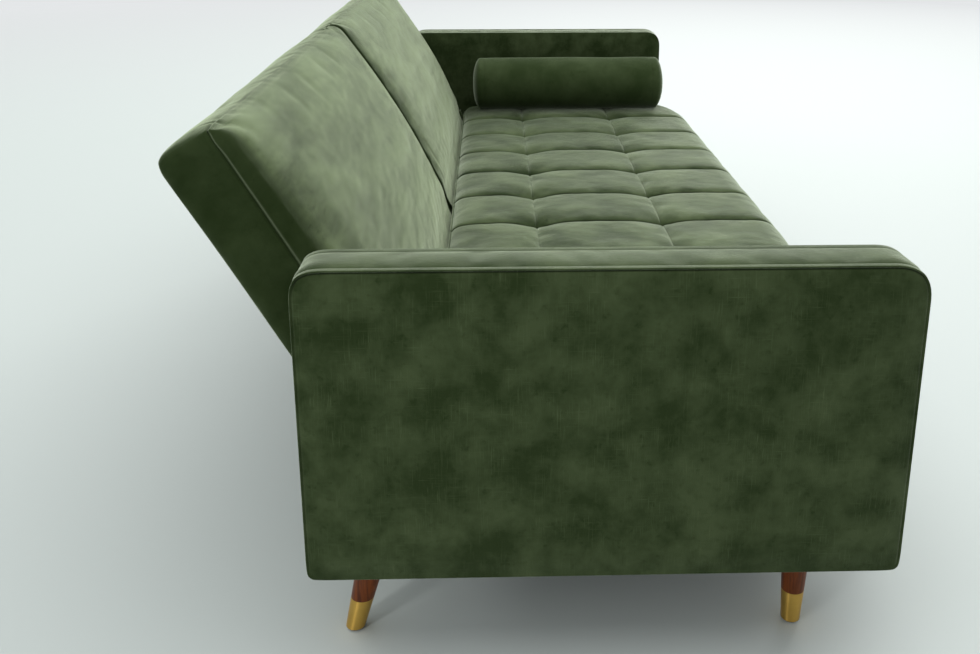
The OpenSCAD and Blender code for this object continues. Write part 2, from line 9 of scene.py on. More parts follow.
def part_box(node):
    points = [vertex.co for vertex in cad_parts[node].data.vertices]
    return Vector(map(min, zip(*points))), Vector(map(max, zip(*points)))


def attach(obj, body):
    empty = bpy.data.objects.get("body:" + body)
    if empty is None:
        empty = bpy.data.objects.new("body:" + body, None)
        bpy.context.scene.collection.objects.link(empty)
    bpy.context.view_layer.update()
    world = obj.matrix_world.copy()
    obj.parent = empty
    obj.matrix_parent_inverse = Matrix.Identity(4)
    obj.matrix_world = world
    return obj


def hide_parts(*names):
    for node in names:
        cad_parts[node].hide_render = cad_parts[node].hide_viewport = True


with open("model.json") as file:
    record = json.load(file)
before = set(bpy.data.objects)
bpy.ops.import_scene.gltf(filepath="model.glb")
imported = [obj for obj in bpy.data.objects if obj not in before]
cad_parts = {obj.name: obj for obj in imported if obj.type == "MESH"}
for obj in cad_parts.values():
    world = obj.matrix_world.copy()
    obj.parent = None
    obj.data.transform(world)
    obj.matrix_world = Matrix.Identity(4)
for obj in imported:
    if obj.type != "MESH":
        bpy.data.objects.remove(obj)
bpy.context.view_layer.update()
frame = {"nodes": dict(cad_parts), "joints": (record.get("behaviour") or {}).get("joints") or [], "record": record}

# ---------- places taken from the frame ----------

SEAT_LO, SEAT_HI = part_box("seat_cushion")
ARM_LO, ARM_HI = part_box("arm_right_cover")
BOLSTER_LO, BOLSTER_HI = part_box("bolster")
HINGE = next(j for j in frame["joints"] if j["name"] == "back_right_recline")["pos_m"]
RECLINE = math.radians(30)

# Right back half in its own axes: X across, N rearwards, S up the back from the hinge axis
BACK_X = (0.0100, 0.9635)
BACK_N = (-0.063, 0.042)
BACK_S = (-0.063, 0.478)

# Room left for the hinges at the foot of each back half, behind a flap of cover
HINGE_SLOT = 0.040
HINGE_SLOT_TOP = 0.036
FLAP_N = -0.038
INNER_FLAP_S = -0.020
OUTER_FLAP_S = 0.018

# Seat: ten rows along the sofa and three columns from front to back
ROWS = 10
ROW_PITCH = (SEAT_HI.x - SEAT_LO.x) / ROWS
ROW_SEAMS = [SEAT_LO.x + ROW_PITCH * i for i in range(1, ROWS)]
COLUMN_SEAMS = (-0.253, 0.002)
SLAT_TOP = 0.2203
RAIL_FACE = -0.4293

# The seat's rear lip reaches back to the back halves above this height
SEAT_TUCK = 0.0184
LIP_Z = 0.322
LIP_RISE = 0.018
SEAT_REAR = SEAT_HI.y + SEAT_TUCK
REAR_WELT_Z = SEAT_HI.z - 0.0085

# Distances below this count as none
TINY = 1e-6


# ---------- small helpers ----------

def deselect():
    bpy.ops.object.select_all(action="DESELECT")


def activate(obj):
    deselect()
    obj.select_set(True)
    bpy.context.view_layer.objects.active = obj


def apply_modifiers(obj):
    activate(obj)
    for name in [m.name for m in obj.modifiers]:
        bpy.ops.object.modifier_apply(modifier=name)


def smoothstep(t):
    t = np.clip(t, 0, 1)
    return t * t * (3 - 2 * t)


def well(distance, depth, width):
    """Depth of a sewn valley that is sharp at the stitches."""
    return depth * np.exp(-distance / width)


def bead(distance, width):
    """A rounded ridge or line, one in its middle."""
    return np.exp(-((distance / width) ** 2))


def get_points(obj):
    co = np.empty(len(obj.data.vertices) * 3)
    obj.data.vertices.foreach_get("co", co)
    return co.reshape(-1, 3)


def set_points(obj, points):
    obj.data.vertices.foreach_set("co", np.ascontiguousarray(points).ravel())
    obj.data.update()


def get_normals(obj):
    n = np.empty(len(obj.data.vertices) * 3)
    obj.data.vertices.foreach_get("normal", n)
    return n.reshape(-1, 3)


def set_mask(obj, name, values):
    attribute = obj.data.attributes.new(name, "FLOAT", "POINT")
    attribute.data.foreach_set("value", values.astype(np.float32))


def waviness(points, scale, depth, seed):
    """Slow unevenness of hand-laid wadding, as a distance for each point."""
    offset = Vector((seed * 7.1, seed * 3.3, seed * 5.7))
    return np.array([depth * noise.noise(Vector(p) * scale + offset) for p in points])


# ---------- blocks of foam: cut into loops, rounded, sewn and inflated ----------

def spaced(lo, hi, step, marks=(), beside=()):
    """Loops from lo to hi about a step apart, with one on each mark and more beside it."""
    stops = sorted({lo, hi, *[m for m in marks if lo < m < hi]})
    loops = set(stops)
    for a, b in zip(stops, stops[1:]):
        start, end = a, b
        for gap in beside:
            if (a in marks) and a + gap < b - gap:
                loops.add(a + gap)
                start = a + gap
            if (b in marks) and b - gap > a + gap:
                loops.add(b - gap)
                end = b - gap
        count = max(1, round((end - start) / step))
        loops.update(start + (end - start) * i / count for i in range(1, count))
    return np.array(sorted(loops))


def block(name, lo, hi):
    """A plain block at its size and place, ready to be cut and shaped."""
    lo, hi = Vector(lo), Vector(hi)
    deselect()
    bpy.ops.mesh.primitive_cube_add(size=1, location=(lo + hi) / 2, scale=hi - lo)
    obj = bpy.context.object
    obj.name = name
    bpy.ops.object.transform_apply(location=True, rotation=True, scale=True)
    return obj


def cut_away(obj, lo, hi):
    """Takes a square notch out of a block."""
    cutter = block("cutter", lo, hi)
    cut = obj.modifiers.new("cut", "BOOLEAN")
    cut.operation = "DIFFERENCE"
    cut.solver = "EXACT"
    cut.object = cutter
    apply_modifiers(obj)
    bpy.data.objects.remove(cutter)


def cut_loops(obj, xs, ys, zs):
    """Bisects a block at every station along X, Y and Z. Returns the flat place of each vertex."""
    activate(obj)
    bpy.ops.object.mode_set(mode="EDIT")
    for axis, stations in enumerate((xs, ys, zs)):
        normal = Vector((axis == 0, axis == 1, axis == 2))
        for station in stations[1:-1]:
            bpy.ops.mesh.select_all(action="SELECT")
            bpy.ops.mesh.bisect(plane_co=normal * station, plane_no=normal, threshold=TINY)
    bpy.ops.object.mode_set(mode="OBJECT")
    return np.round(get_points(obj), 7)


def outline_depth(flat, lo, hi):
    """Depth of each vertex below the block's outline, in its Y-Z plane."""
    yz = flat[:, 1:]
    return np.minimum(yz - lo, hi - yz).min(axis=1)


def round_corner(points, normal, yz, lo, hi, corner, radius):
    """Bends the skin round one corner of the outline, and turns its normals."""
    sign = np.array(corner)
    centre = np.where(sign > 0, hi - radius, lo + radius)
    arm = (yz - centre) * sign
    near = (arm > 0).all(axis=1)
    direction = arm[near] / np.linalg.norm(arm[near], axis=1)[:, None] * sign
    points[near, 1:] = centre + direction * arm[near].max(axis=1)[:, None]
    normal[near] = direction


def rounded(flat, x_range, lo, hi, radii, edges):
    """Rounds a block. The radii are at the outline's front low, rear low, rear high and front high
    corners, and the edges are where the outline meets the block's low and high X faces."""
    lo, hi = np.array(lo), np.array(hi)
    points = flat.copy()
    depth = outline_depth(flat, lo, hi)
    yz = flat[:, 1:]
    side = np.where(yz > (lo + hi) / 2, 1.0, -1.0)
    gap = np.where(side > 0, hi - yz, yz - lo)
    normal = np.where(gap - gap.min(axis=1)[:, None] < TINY, side, 0.0)
    normal /= np.linalg.norm(normal, axis=1)[:, None]
    for corner, radius in zip(((-1, -1), (1, -1), (1, 1), (-1, 1)), radii):
        if radius:
            round_corner(points, normal, yz, lo, hi, corner, radius)
    x_lo, x_hi = x_range
    end_gap = np.minimum(flat[:, 0] - x_lo, x_hi - flat[:, 0])
    for sign, edge in zip((-1, 1), edges):
        this_end = (flat[:, 0] - (x_lo + x_hi) / 2) * sign > 0
        on_end = this_end & (end_gap < TINY) & (depth < edge)
        turn = np.radians(45) * (edge - depth[on_end]) / edge
        points[on_end, 0] -= sign * edge * (1 - np.cos(turn))
        points[on_end, 1:] += normal[on_end] * (depth[on_end] - edge * (1 - np.sin(turn)))[:, None]
        on_rim = this_end & (depth < TINY) & (end_gap >= TINY) & (end_gap < edge)
        turn = np.radians(45) * (edge - end_gap[on_rim]) / edge
        points[on_rim, 0] += sign * (end_gap[on_rim] - edge * (1 - np.sin(turn)))
        points[on_rim, 1:] -= normal[on_rim] * (edge * (1 - np.cos(turn)))[:, None]
    return points, depth, end_gap


def inflate(obj, held, pressure, cap, frames=20, slack=0.0):
    """Swells the free part of a piece as cloth, and limits how far a point may move. The slack is
    the share by which the cloth is larger than the piece."""
    before = get_points(obj)
    group = obj.vertex_groups.new(name="held")
    group.add(np.flatnonzero(held).tolist(), 1.0, "REPLACE")
    cloth = obj.modifiers.new("inflate", "CLOTH")
    settings = cloth.settings
    settings.quality = 6
    settings.mass = 0.15
    settings.tension_stiffness = 12
    settings.compression_stiffness = 6
    settings.shear_stiffness = 4
    settings.bending_stiffness = 0.5
    settings.air_damping = 4
    settings.use_pressure = True
    settings.uniform_pressure_force = pressure
    settings.shrink_min = -slack
    settings.vertex_group_mass = "held"
    settings.effector_weights.gravity = 0
    cloth.collision_settings.use_collision = False
    scene = bpy.context.scene
    scene.frame_start, scene.frame_end = 1, frames
    cloth.point_cache.frame_start, cloth.point_cache.frame_end = 1, frames
    for f in range(1, frames + 1):
        scene.frame_set(f)
    apply_modifiers(obj)
    moved = get_points(obj) - before
    length = np.linalg.norm(moved, axis=1)
    limit = cap * np.tanh(length / cap)
    moved *= (limit / np.maximum(length, 1e-9))[:, None]
    set_points(obj, before + moved)
    scene.frame_set(1)
    obj.vertex_groups.clear()


def smooth_cover(obj, material):
    """One level of subdivision, smooth shading and the cover's material."""
    sub = obj.modifiers.new("smooth", "SUBSURF")
    sub.levels = sub.render_levels = 1
    apply_modifiers(obj)
    bpy.ops.object.shade_smooth()
    obj.data.materials.append(material)
    return obj


def mirrored(obj, name):
    """The same piece for the sofa's other side, as a copy with its own mesh."""
    activate(obj)
    bpy.ops.object.duplicate()
    copy = bpy.context.object
    copy.name = copy.data.name = name
    copy.scale.x = -1
    bpy.ops.object.transform_apply(location=False, rotation=False, scale=True)
    bpy.ops.object.mode_set(mode="EDIT")
    bpy.ops.mesh.select_all(action="SELECT")
    bpy.ops.mesh.normals_make_consistent(inside=False)
    bpy.ops.object.mode_set(mode="OBJECT")
    return copy


def upholster(obj, body, node):
    """Tells the frame what a finished soft piece rides on and stands for."""
    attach(obj, body)
    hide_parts(node)


# ---------- node helpers ----------

def new_group(name, inputs, outputs):
    """A shader node group with float, colour or vector sockets."""
    kinds = {"f": "NodeSocketFloat", "c": "NodeSocketColor", "v": "NodeSocketVector"}
    group = bpy.data.node_groups.new(name, "ShaderNodeTree")
    for label, kind, value in inputs:
        socket = group.interface.new_socket(label, in_out="INPUT", socket_type=kinds[kind])
        if value is not None:
            socket.default_value = value
    for label, kind in outputs:
        group.interface.new_socket(label, in_out="OUTPUT", socket_type=kinds[kind])
    group.nodes.new("NodeGroupInput").name = "in"
    group.nodes.new("NodeGroupOutput").name = "out"
    return group


def add(tree, kind, links=None, **values):
    """A node with its properties and input values set, and its inputs linked."""
    node = tree.nodes.new(kind)
    for key, value in values.items():
        if hasattr(node, key):
            setattr(node, key, value)
        else:
            node.inputs[key].default_value = value
    for key, source in (links or {}).items():
        tree.links.new(source, node.inputs[key])
    return node


def noise_at(tree, vector, scale, detail=3.0, rough=0.55, distortion=0.0):
    node = add(tree, "ShaderNodeTexNoise", {"Vector": vector})
    node.inputs["Scale"].default_value = scale
    node.inputs["Detail"].default_value = detail
    node.inputs["Roughness"].default_value = rough
    node.inputs["Distortion"].default_value = distortion
    return node.outputs["Fac"]


def remap(tree, value, a, b, c=0.0, d=1.0):
    node = add(tree, "ShaderNodeMapRange", {"Value": value})
    for key, number in (("From Min", a), ("From Max", b), ("To Min", c), ("To Max", d)):
        node.inputs[key].default_value = number
    return node.outputs["Result"]


def math_node(tree, operation, a, b):
    node = tree.nodes.new("ShaderNodeMath")
    node.operation = operation
    for socket, value in zip(node.inputs, (a, b)):
        if isinstance(value, (int, float)):
            socket.default_value = value
        else:
            tree.links.new(value, socket)
    return node.outputs[0]


def times(tree, a, b):
    return math_node(tree, "MULTIPLY", a, b)


def plus(tree, a, b):
    return math_node(tree, "ADD", a, b)


def stretched(tree, vector, scale):
    node = add(tree, "ShaderNodeVectorMath", {0: vector}, operation="MULTIPLY")
    node.inputs[1].default_value = scale
    return node.outputs[0]


def scaled(tree, vector, size):
    """A vector times a linked value."""
    return add(tree, "ShaderNodeVectorMath", {0: vector, 3: size}, operation="SCALE").outputs[0]


def mix_colour(tree, factor, a, b):
    node = tree.nodes.new("ShaderNodeMix")
    node.data_type = "RGBA"
    for key, value in (("Factor", factor), ("A", a), ("B", b)):
        socket = next(s for s in node.inputs if s.name == key and (s.type == "RGBA" or key == "Factor"))
        if isinstance(value, (int, float, tuple)):
            socket.default_value = value
        else:
            tree.links.new(value, socket)
    return next(s for s in node.outputs if s.type == "RGBA")


def bumped(tree, shader, height, strength, distance):
    """Links a height to the shader's normal."""
    bump = add(tree, "ShaderNodeBump", {"Height": height})
    bump.inputs["Strength"].default_value = strength
    bump.inputs["Distance"].default_value = distance
    tree.links.new(bump.outputs["Normal"], shader.inputs["Normal"])
    return bump


def attribute_mask(tree, name, a, b, c, d):
    """A piece's own mask, with its range from a to b brought to c to d."""
    mask = add(tree, "ShaderNodeAttribute", attribute_name=name)
    return remap(tree, mask.outputs["Fac"], a, b, c, d)


def object_place(tree):
    return add(tree, "ShaderNodeTexCoord").outputs["Object"]


def turned_place(tree, turn, scale=(1, 1, 1)):
    mapping = add(tree, "ShaderNodeMapping", {"Vector": object_place(tree)})
    mapping.inputs["Rotation"].default_value = turn
    mapping.inputs["Scale"].default_value = scale
    return mapping.outputs["Vector"]


def plain_material(name):
    material = bpy.data.materials.new(name)
    material.use_nodes = True
    return material, material.node_tree, material.node_tree.nodes["Principled BSDF"]


# ---------- velvet ----------

PILE_DARK = (0.018, 0.031, 0.008, 1)
PILE_LIGHT = (0.090, 0.120, 0.055, 1)
# Painted shade for seams and grooves, and a painted highlight for welts and lips
SEAM_SHADE = (0.004, 0.007, 0.002, 1)
WELT_HIGHLIGHT = (0.16, 0.19, 0.12, 1)
PILE_TINT = (0.84, 0.95, 0.73, 1)


def nap_group():
    """Brushed velvet: patches where the pile lies over, sparse slubs both ways, and a height
    in metres."""
    colours = [("Dark", "c", PILE_DARK), ("Light", "c", PILE_LIGHT)]
    amounts = [("Patches", "f", 0.5), ("Size", "f", 9.0), ("Slubs", "f", 0.3), ("Lean", "f", 0.008)]
    inputs = [("Vector", "v", None), *colours, *amounts]
    group = new_group("velvet_nap", inputs, [("Color", "c"), ("Height", "f")])
    gin, gout = group.nodes["in"].outputs, group.nodes["out"].inputs
    place = gin["Vector"]
    patched = scaled(group, place, gin["Size"])
    broad = remap(group, noise_at(group, patched, 1, 4, 0.60, 0.15), 0.36, 0.66)
    fleck = remap(group, noise_at(group, patched, 5.5, 3, 0.6), 0.58, 0.74)
    cloud = times(group, plus(group, broad, times(group, fleck, -0.35)), gin["Patches"])
    warp = remap(group, noise_at(group, stretched(group, place, (1, 30, 1)), 30, 2, 0.6), 0.56, 0.74)
    weft = remap(group, noise_at(group, stretched(group, place, (1, 1, 30)), 30, 2, 0.6), 0.60, 0.78)
    where = remap(group, noise_at(group, place, 22, 2, 0.6), 0.36, 0.66)
    slub = times(group, math_node(group, "MAXIMUM", warp, weft), where)
    shade = plus(group, cloud, times(group, slub, gin["Slubs"]))
    lie = times(group, noise_at(group, patched, 1, 2.0, 0.42), gin["Patches"])
    pile = times(group, noise_at(group, place, 900, 2, 0.6), 0.0004)
    group.links.new(mix_colour(group, shade, gin["Dark"], gin["Light"]), gout["Color"])
    group.links.new(plus(group, pile, times(group, lie, gin["Lean"])), gout["Height"])
    return group


NAP = nap_group()


def velvet(name, turn=(0, 0, 0), brushed=(1, 1, 1), patches=0.5, size=9, slubs=0.1, lean=0.006,
           dark=PILE_DARK, light=PILE_LIGHT, sheen=1.0, tint=PILE_TINT):
    """Velvet whose threads and brushing are turned to lie along a piece."""
    material, tree, shader = plain_material(name)
    nap = tree.nodes.new("ShaderNodeGroup")
    nap.node_tree = NAP
    nap.inputs["Dark"].default_value = dark
    nap.inputs["Light"].default_value = light
    nap.inputs["Patches"].default_value = patches
    nap.inputs["Size"].default_value = size
    nap.inputs["Slubs"].default_value = slubs
    nap.inputs["Lean"].default_value = lean
    tree.links.new(turned_place(tree, turn, brushed), nap.inputs["Vector"])
    # painted shade: where this mask is set, the pile turns to its plain dark colour without lighter patches
    border_shade = attribute_mask(tree, "border_shade", 0, 1, 0, 0.85)
    pile = mix_colour(tree, border_shade, nap.outputs["Color"], dark)
    # painted shade: the seam mask darkens the pile along seams and grooves, where shade falls
    seam_shaded = mix_colour(tree, attribute_mask(tree, "seam", 0.2, 0.9, 0.0, 0.92), pile, SEAM_SHADE)
    # painted highlight on welts and lips, from the highlight mask
    highlighted = mix_colour(tree, attribute_mask(tree, "welt_highlight", 0.3, 1.0, 0.0, 0.6), seam_shaded, WELT_HIGHLIGHT)
    tree.links.new(highlighted, shader.inputs["Base Color"])
    bumped(tree, shader, nap.outputs["Height"], 1.0, 1.0)
    shader.inputs["Roughness"].default_value = 0.9
    shader.inputs["Specular IOR Level"].default_value = 0.1
    shader.inputs["Sheen Weight"].default_value = sheen
    shader.inputs["Sheen Roughness"].default_value = 0.32
    shader.inputs["Sheen Tint"].default_value = tint
    return material


# ---------- wood ----------

def grain_group():
    """Straight wood grain along Z, as two masks."""
    inputs = [("Vector", "v", None), ("Scale", "f", 1.0)]
    group = new_group("wood_grain", inputs, [("Grain", "f"), ("Pores", "f")])
    gin, gout = group.nodes["in"].outputs, group.nodes["out"].inputs
    place = scaled(group, gin["Vector"], gin["Scale"])
    rings = noise_at(group, stretched(group, place, (14, 14, 1.1)), 5, 4, 0.6, 1.2)
    pores = noise_at(group, stretched(group, place, (60, 60, 3)), 9, 2, 0.6)
    group.links.new(remap(group, rings, 0.3, 0.7), gout["Grain"])
    group.links.new(remap(group, pores, 0.55, 0.75), gout["Pores"])
    return group


GRAIN = grain_group()


def wood(name, dark, light, rough, turn=(0, 0, 0), scale=1.0):
    material, tree, shader = plain_material(name)
    grain = tree.nodes.new("ShaderNodeGroup")
    grain.node_tree = GRAIN
    grain.inputs["Scale"].default_value = scale
    tree.links.new(turned_place(tree, turn), grain.inputs["Vector"])
    in_pore = tuple(c * 0.4 for c in dark[:3]) + (1,)
    base = mix_colour(tree, grain.outputs["Grain"], dark, light)
    pored = mix_colour(tree, remap(tree, grain.outputs["Pores"], 0, 1, 0, 0.5), base, in_pore)
    tree.links.new(pored, shader.inputs["Base Color"])
    uneven = remap(tree, grain.outputs["Grain"], 0, 1, rough, rough + 0.12)
    tree.links.new(uneven, shader.inputs["Roughness"])
    bumped(tree, shader, grain.outputs["Pores"], 0.25, 0.0004).invert = True
    shader.inputs["Specular IOR Level"].default_value = 0.25
    return material


# ---------- metal, paint, plastic and dust cloth ----------

def wear_group():
    """Smudges and fine scratches, as masks that vary about a half."""
    group = new_group("handled", [("Vector", "v", None)], [("Smudge", "f"), ("Scratch", "f")])
    gin, gout = group.nodes["in"].outputs, group.nodes["out"].inputs
    place = gin["Vector"]
    group.links.new(remap(group, noise_at(group, place, 38, 4, 0.6), 0.3, 0.7), gout["Smudge"])
    fine = noise_at(group, stretched(group, place, (1, 1, 30)), 260, 2, 0.5)
    group.links.new(remap(group, fine, 0.4, 0.65), gout["Scratch"])
    return group


WEAR = wear_group()


def hard(name, colour, second, metallic, rough, rough_spread, scratch_depth=0.0, turned=0.0):
    """Metal, paint or plastic with smudges and fine scratches in its colour and roughness."""
    material, tree, shader = plain_material(name)
    wear = tree.nodes.new("ShaderNodeGroup")
    wear.node_tree = WEAR
    tree.links.new(object_place(tree), wear.inputs["Vector"])
    mixed = plus(tree, times(tree, wear.outputs["Smudge"], 0.7), times(tree, wear.outputs["Scratch"], 0.3))
    tree.links.new(mix_colour(tree, mixed, colour, second), shader.inputs["Base Color"])
    tree.links.new(remap(tree, mixed, 0, 1, rough, rough + rough_spread), shader.inputs["Roughness"])
    shader.inputs["Metallic"].default_value = metallic
    shader.inputs["Anisotropic"].default_value = turned
    shader.inputs["Anisotropic Rotation"].default_value = 0.25
    if scratch_depth:
        bumped(tree, shader, wear.outputs["Scratch"], 0.3, scratch_depth)
    return material


def dust_cloth():
    """Thin black non-woven cloth with a pressed dot pattern."""
    material, tree, shader = plain_material("dust_cloth")
    place = object_place(tree)
    cells = add(tree, "ShaderNodeTexVoronoi", {"Vector": place})
    cells.inputs["Scale"].default_value = 400
    dots = remap(tree, cells.outputs["Distance"], 0.1, 0.45)
    fibres = remap(tree, noise_at(tree, place, 180, 4, 0.7), 0.3, 0.7)
    deep, raised = (0.008, 0.008, 0.009, 1), (0.035, 0.035, 0.037, 1)
    cloth = mix_colour(tree, times(tree, dots, fibres), deep, raised)
    tree.links.new(cloth, shader.inputs["Base Color"])
    bumped(tree, shader, dots, 0.4, 0.0004)
    shader.inputs["Roughness"].default_value = 0.95
    return material


# ---------- seat ----------

# How far the front edge curves in at the arms, and over what length
BOW_DEPTH = 0.065
BOW_LENGTH = 0.170

# Corner radii of the seat's outline: front low, rear low, rear high and front high
SEAT_CORNERS = (0.012, 0, 0.022, 0.045)
SEAT_EDGE = 0.012

# Depth and width of the valleys at the seams, and width of the line of painted shade in each
ROW_DEPTH, ROW_WIDTH, ROW_LINE = 0.0085, 0.0036, 0.0052
COLUMN_DEPTH, COLUMN_WIDTH, COLUMN_LINE = 0.0046, 0.0030, 0.0020
HOLLOW_DEPTH, HOLLOW_WIDTH = 0.0022, 0.024
FRONT_CROSSING_DEPTH, REAR_CROSSING_DEPTH, CROSSING_WIDTH = 0.0150, 0.0210, 0.032

# The foam slumps toward the front and rear edges
REAR_SLUMP, FRONT_SLUMP, SLUMP_REACH = 0.015, 0.007, 0.060

# Welt along the rear edge, with a gutter on both sides; the welt gets a painted highlight and the gutters painted
# shade
WELT_HEIGHT, WELT_WIDTH = 0.0026, 0.0019
GUTTER_DEPTH, GUTTER_WIDTH, GUTTER_GAP = 0.0012, 0.0014, 0.0045


def bow(x):
    """How far the seat's front edge curves in to the arms, at a place along the sofa."""
    t = np.clip((np.abs(x) - (SEAT_HI.x - BOW_LENGTH)) / BOW_LENGTH, 0, 1)
    return BOW_DEPTH * (1 - np.sqrt(1 - t * t))


def seat_loops():
    """Stations of the seat's loops, closer together beside the seams and at the rear welt."""
    beside = (0.0015, 0.0036, 0.0064, 0.011, 0.019)
    xs = spaced(-SEAT_HI.x, SEAT_HI.x, 0.0165, ROW_SEAMS, beside)
    ys = spaced(SEAT_LO.y, SEAT_REAR, 0.0165, [RAIL_FACE, *COLUMN_SEAMS], beside)
    zs = spaced(SEAT_LO.z, SEAT_HI.z, 0.0135, [SLAT_TOP])
    at_welt = [REAR_WELT_Z + 0.0015 * i for i in range(-4, 5)]
    clear_of_welt = zs[np.abs(zs - REAR_WELT_Z) > 0.008]
    return xs, ys, np.array(sorted({*clear_of_welt, *at_welt}))


def shape_seat(flat):
    """Rounds the seat, bows its front edge in plan and holds its rear back below the lip."""
    lo, hi = (SEAT_LO.y, SEAT_LO.z), (SEAT_REAR, SEAT_HI.z)
    x_range = (-SEAT_HI.x, SEAT_HI.x)
    points, depth, end_gap = rounded(flat, x_range, lo, hi, SEAT_CORNERS, (SEAT_EDGE, SEAT_EDGE))
    low = flat[:, 2] <= SLAT_TOP + TINY
    toward_rear = smoothstep((-0.12 - flat[:, 1]) / 0.33)
    skirt = np.clip((RAIL_FACE - points[:, 1]) / (RAIL_FACE - SEAT_LO.y), 0, 1)
    points[:, 1] += bow(flat[:, 0]) * np.where(low, skirt, toward_rear)
    below_lip = 1 - smoothstep((points[:, 2] - LIP_Z) / LIP_RISE)
    points[:, 1] -= SEAT_TUCK * (flat[:, 1] > SEAT_HI.y - 0.02) * below_lip
    return points, depth, end_gap


def sew_seat(seat, flat, points, on_skin):
    """Draws the skin in at the seams, deepest where a row and a column cross. Sets the masks of painted
    shade along the seams and gutters and of a painted highlight on the rear welt, and returns which
    points are on a seam."""
    normals = get_normals(seat)
    on_rear = on_skin & (flat[:, 1] > SEAT_REAR - TINY)
    to_row = np.abs(flat[:, 0, None] - np.array(ROW_SEAMS)[None]).min(axis=1)
    along = np.where(flat[:, 2] > SEAT_HI.z - TINY, flat[:, 1], SEAT_LO.y - (SEAT_HI.z - flat[:, 2]))
    along = np.where(on_rear, SEAT_REAR + SEAT_HI.z - flat[:, 2], along)
    to_column = np.abs(along[:, None] - np.array(COLUMN_SEAMS)[None]).min(axis=1)
    to_front, to_rear = flat[:, 1] - SEAT_LO.y, SEAT_REAR - flat[:, 1]
    slump = well(to_rear, REAR_SLUMP, SLUMP_REACH) + well(to_front, FRONT_SLUMP, SLUMP_REACH)
    points[:, 2] -= slump * smoothstep((points[:, 2] - 0.295) / 0.05) * on_skin
    fade = smoothstep((flat[:, 2] - SEAT_LO.z - 0.01) / 0.05)
    fade = np.where(on_rear, smoothstep((flat[:, 2] - 0.315) / 0.02), fade)
    ease = smoothstep(np.minimum(to_front / 0.05, to_rear / 0.04) * 0.8 + 0.2)
    row_well = well(to_row, ROW_DEPTH, ROW_WIDTH) * (0.45 + 0.55 * ease)
    column_well = well(to_column, COLUMN_DEPTH, COLUMN_WIDTH) + HOLLOW_DEPTH * bead(to_column, HOLLOW_WIDTH)
    at_front = along < sum(COLUMN_SEAMS) / 2
    crossing_depth = np.where(at_front, FRONT_CROSSING_DEPTH, REAR_CROSSING_DEPTH)
    crossing = well(np.hypot(to_row * 1.8, to_column), crossing_depth, CROSSING_WIDTH)
    pull = (row_well + column_well + crossing) * fade
    swell = 0.0010 * smoothstep(to_row / 0.022) * smoothstep(to_column / 0.05) * ease
    to_welt = flat[:, 2] - REAR_WELT_Z
    welt = bead(to_welt, WELT_WIDTH) * on_rear
    gutter = bead(np.abs(to_welt) - GUTTER_GAP, GUTTER_WIDTH) * on_rear
    inward = np.where(on_skin, pull - swell, 0) - WELT_HEIGHT * welt + GUTTER_DEPTH * gutter
    points -= normals * inward[:, None]
    set_points(seat, points)
    # painted shade along the row and column seams and in the gutters beside the welt, where shade falls in the
    # creases; the welt's mask is a painted highlight
    seams = np.maximum(bead(to_row, ROW_LINE), 0.40 * bead(to_column, COLUMN_LINE))
    set_mask(seat, "seam", np.maximum(np.where(on_skin, seams, 0) * fade, 0.8 * gutter))
    set_mask(seat, "welt_highlight", welt)
    return (to_row < 0.002) | (to_column < 0.001) | on_rear


def make_seat(material):
    seat = block("seat_upholstery", (-SEAT_HI.x, SEAT_LO.y, SEAT_LO.z), (SEAT_HI.x, SEAT_REAR, SEAT_HI.z))
    cut_away(seat, (-1.5 * SEAT_HI.x, RAIL_FACE, 0), (1.5 * SEAT_HI.x, 1, SLAT_TOP))
    flat = cut_loops(seat, *seat_loops())
    points, depth, end_gap = shape_seat(flat)
    set_points(seat, points)
    on_skin = (depth < TINY) & (flat[:, 2] > SEAT_LO.z + 0.02)
    on_seam = sew_seat(seat, flat, points, on_skin)
    held = ~on_skin | on_seam | (end_gap < 0.004) | (flat[:, 2] < SEAT_LO.z + 0.03)
    inflate(seat, held, pressure=1.6, cap=0.0018, slack=0.004)
    return smooth_cover(seat, material)


# ---------- arms ----------

# Corner radii of the arm's outline: front low, rear low, rear high and front high
ARM_CORNERS = (0.012, 0.012, 0.030, 0.038)
ARM_EDGE = 0.0018

# The strip between each edge and the stitches of the boxing band
ARM_BAND = 0.0115
STRIP_HEIGHT = 0.0008
STITCH_DEPTH, STITCH_WIDTH = 0.0014, 0.0012
PANEL_SEAM_DEPTH, PANEL_SEAM_WIDTH, PANEL_SEAM_GAP = 0.0022, 0.0013, 0.0022

# The wadding stands proud of the seams and waves slowly
BAND_CROWN, PANEL_CROWN, CROWN_REACH = 0.0020, 0.0010, 0.016
ARM_WAVES = (6.0, 0.0014, 1)


def arm_loops():
    """Stations of an arm's loops, closer together at the welts on both sides of its boxing band."""
    lo, hi = ARM_LO, ARM_HI
    on_strip = (0.0009, 0.0018, 0.0030, 0.0056, 0.0085)
    at_stitches = (ARM_BAND - 0.0013, ARM_BAND, ARM_BAND + 0.0013, ARM_BAND + 0.005)
    inward = on_strip + at_stitches
    middle = np.linspace(lo.x + 0.024, hi.x - 0.024, 3)
    xs = {lo.x, hi.x, *[lo.x + w for w in inward], *[hi.x - w for w in inward], *middle}
    beside = (0.0009, 0.0018, 0.0030, 0.0046, 0.0080)
    ys = spaced(lo.y, hi.y, 0.014, (lo.y, hi.y), beside)
    zs = spaced(lo.z, hi.z, 0.014, (lo.z, hi.z), beside)
    return np.array(sorted(xs)), ys, zs


